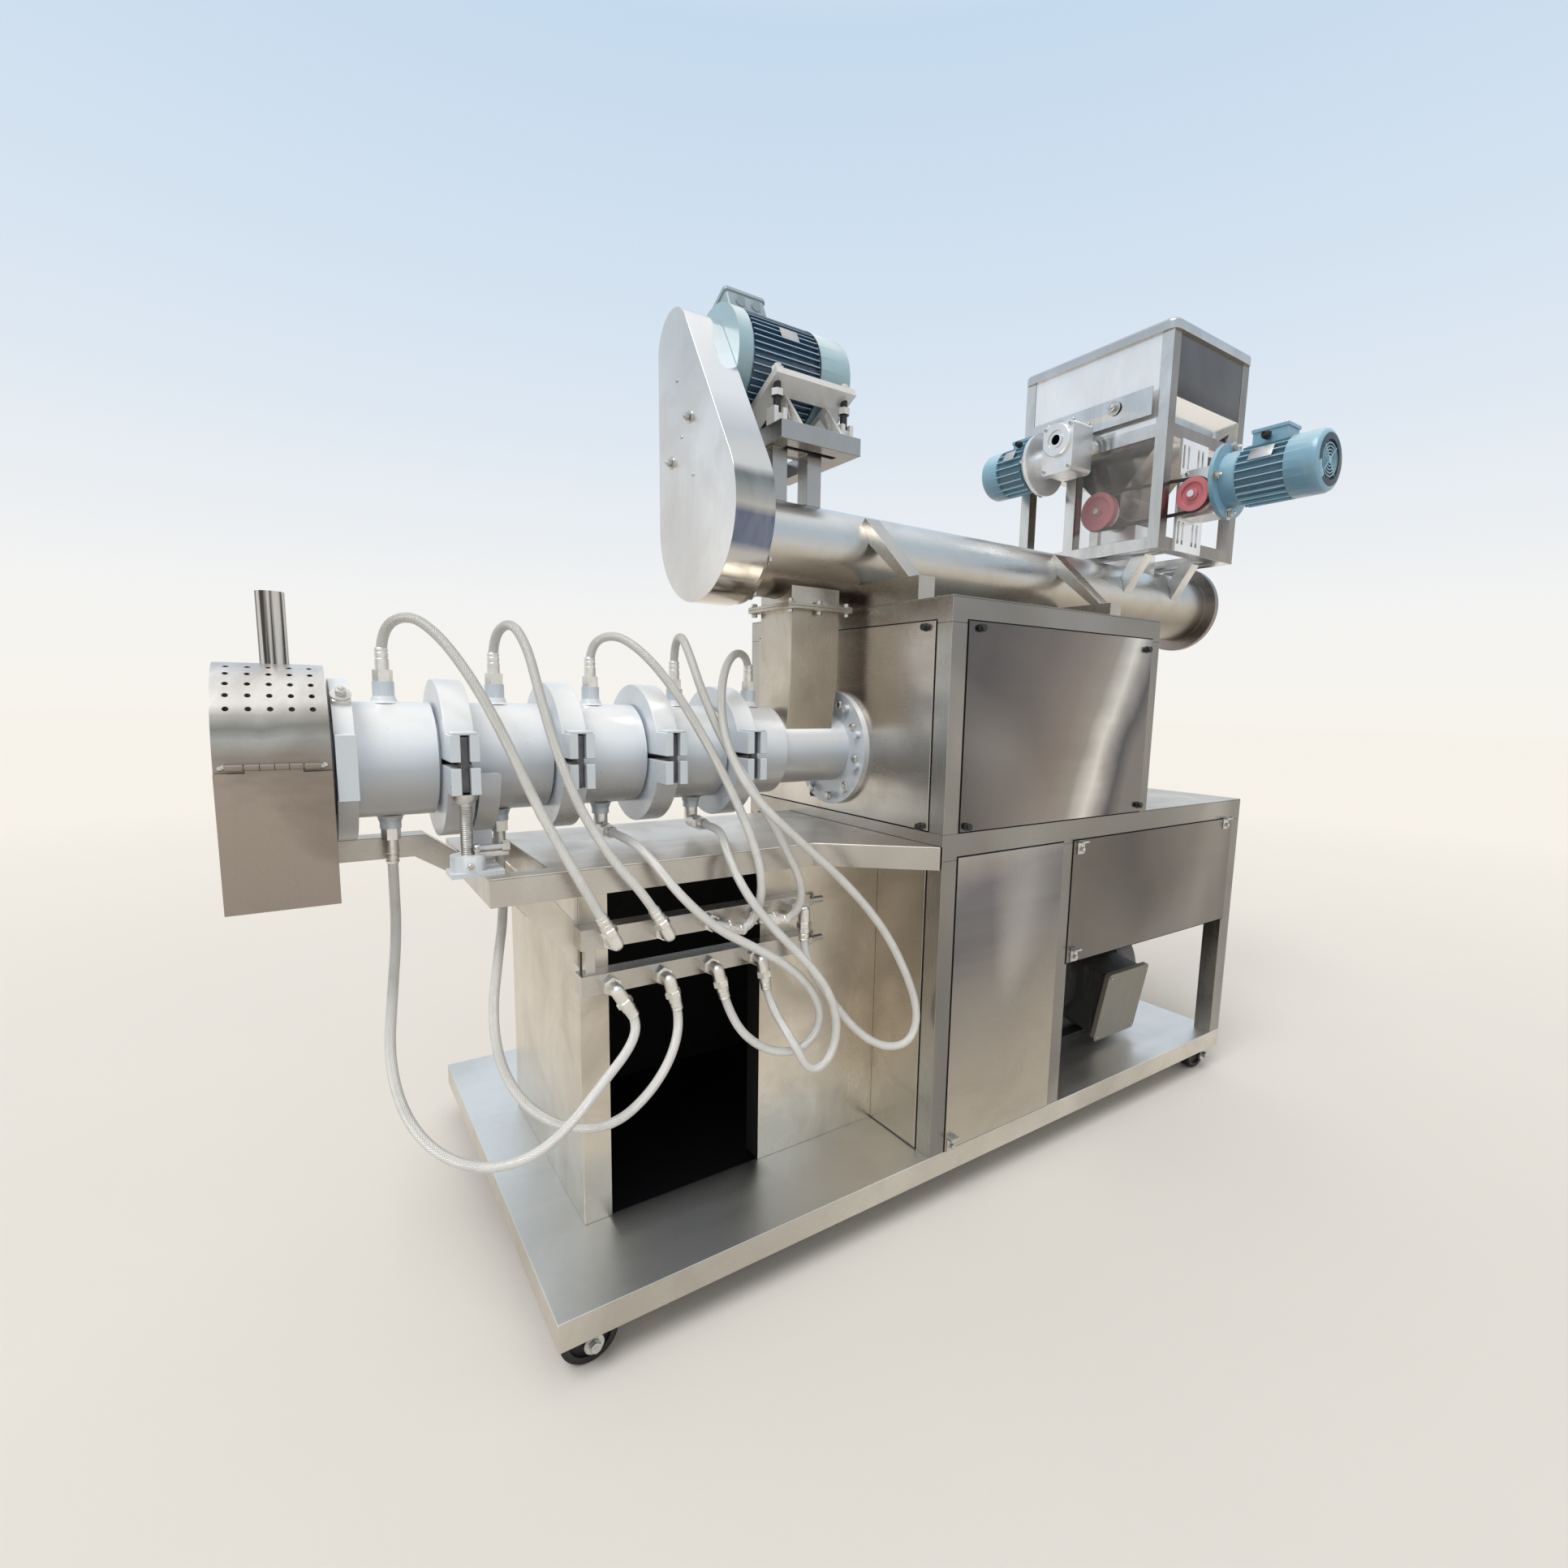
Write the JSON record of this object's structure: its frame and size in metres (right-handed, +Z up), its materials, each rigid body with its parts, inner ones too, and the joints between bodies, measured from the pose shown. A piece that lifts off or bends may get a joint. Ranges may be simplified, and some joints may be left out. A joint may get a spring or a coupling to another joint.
{
  "type": "snack food extruder",
  "caption": "Food extruder on a castor skid: clamped jacketed barrel, cutter guard, cabinet, conditioner tube, feed hopper, geared motors and water hoses.",
  "frame": {"origin": "floor level under the middle of the machine's footprint", "axes": "+X along the barrel from the cutter guard to the hopper, +Y from the operator's side to the back, +Z up"},
  "size_m": [2.668, 1.217, 2.152],
  "materials": {
    "skid_steel": "brushed stainless skid",
    "sheet_steel": "brushed stainless sheet",
    "tube_steel": "brushed stainless square tube",
    "polished_steel": "polished stainless sheet",
    "barrel_paint": "pale blue-grey satin paint",
    "motor_paint": "light teal gloss paint",
    "drive_paint": "dark blue gloss paint",
    "cast_aluminium": "bead-blasted cast aluminium",
    "zinc_steel": "zinc plated fittings",
    "braid": "woven stainless braid",
    "black_steel": "black oxide steel",
    "castor_rubber": "solid black rubber",
    "red_paint": "red gloss paint",
    "belt_rubber": "black drive belt",
    "clear_sheet": "clear plastic sheet"
  },
  "bodies": {
    "machine": {"agitator_drive": "motor_paint", "barrel_clamps": "barrel_paint", "barrel_sections": "barrel_paint", "barrel_supports": "barrel_paint", "base_deck": "skid_steel", "base_frame": "skid_steel", "bay_front_panel": "sheet_steel", "belt_guard": "sheet_steel", "cabinet_covers": "sheet_steel", "cabinet_posts": "tube_steel", "cabinet_rails": "tube_steel", "castor_forks": "black_steel", "clamp_bolts": "black_steel", "conditioner_saddles": "tube_steel", "conditioner_tube": "tube_steel", "die_head": "barrel_paint", "drive_motor": "drive_paint", "feed_section": "barrel_paint", "feeder_belt": "belt_rubber", "feeder_drive": "motor_paint", "feeder_shaft": "zinc_steel", "guard_arm": "tube_steel", "guard_hood": "sheet_steel", "hopper_bin": "polished_steel", "hopper_frame": "polished_steel", "hopper_rim": "polished_steel", "hopper_throat": "tube_steel", "hopper_walls": "polished_steel", "hopper_window": "clear_sheet", "hose_bottom_1": "braid", "hose_bottom_2": "braid", "hose_bottom_3": "braid", "hose_bottom_4": "braid", "hose_fittings": "zinc_steel", "hose_top_1": "braid", "hose_top_2": "braid", "hose_top_3": "braid", "hose_top_4": "braid", "hose_top_5": "braid", "lower_chute": "tube_steel", "lower_front_panel": "sheet_steel", "main_motor": "drive_paint", "manifolds": "tube_steel", "motor_plate": "cast_aluminium", "motor_platform": "tube_steel", "rear_panels": "sheet_steel", "side_panels": "sheet_steel", "stand_walls": "sheet_steel", "table_frame": "tube_steel", "table_gussets": "sheet_steel", "table_top": "sheet_steel", "upper_chute": "tube_steel", "upper_front_panel": "sheet_steel"},
    "castor_wheel_front_left": {"castor_wheel_front_left": "castor_rubber"},
    "castor_wheel_front_right": {"castor_wheel_front_right": "castor_rubber"},
    "castor_wheel_rear_left": {"castor_wheel_rear_left": "castor_rubber"},
    "castor_wheel_rear_right": {"castor_wheel_rear_right": "castor_rubber"},
    "guard_flap": {"guard_flap": "sheet_steel"},
    "drive_pulley": {"drive_pulley": "red_paint"},
    "driven_pulley": {"driven_pulley": "red_paint"}
  },
  "joints": [
    {"name": "castor_wheel_front_left_spin", "type": "hinge", "parent": "machine", "child": "castor_wheel_front_left", "pos_m": [-0.887, -0.3485, 0.05], "axis": [0, 1, 0], "continuous": true},
    {"name": "castor_wheel_front_right_spin", "type": "hinge", "parent": "machine", "child": "castor_wheel_front_right", "pos_m": [1.023, -0.3485, 0.05], "axis": [0, 1, 0], "continuous": true},
    {"name": "castor_wheel_rear_left_spin", "type": "hinge", "parent": "machine", "child": "castor_wheel_rear_left", "pos_m": [-0.887, 0.5605, 0.05], "axis": [0, 1, 0], "continuous": true},
    {"name": "castor_wheel_rear_right_spin", "type": "hinge", "parent": "machine", "child": "castor_wheel_rear_right", "pos_m": [1.023, 0.5605, 0.05], "axis": [0, 1, 0], "continuous": true},
    {"name": "guard_flap_hinge", "type": "hinge", "parent": "machine", "child": "guard_flap", "pos_m": [-1.2635, -0.1805, 1.004], "axis": [-1, 0, 0], "range_deg": [0, 100]},
    {"name": "driven_pulley_spin", "type": "hinge", "parent": "machine", "child": "driven_pulley", "pos_m": [0.845, -0.0165, 1.697], "axis": [1, 0, 0], "continuous": true},
    {"name": "drive_pulley_spin", "type": "hinge", "parent": "machine", "child": "drive_pulley", "pos_m": [0.845, -0.3105, 1.689], "axis": [1, 0, 0], "continuous": true}
  ],
  "couplings": [
    {"joint": "drive_pulley_spin", "follows": "driven_pulley_spin", "ratio": 1.279}
  ]
}
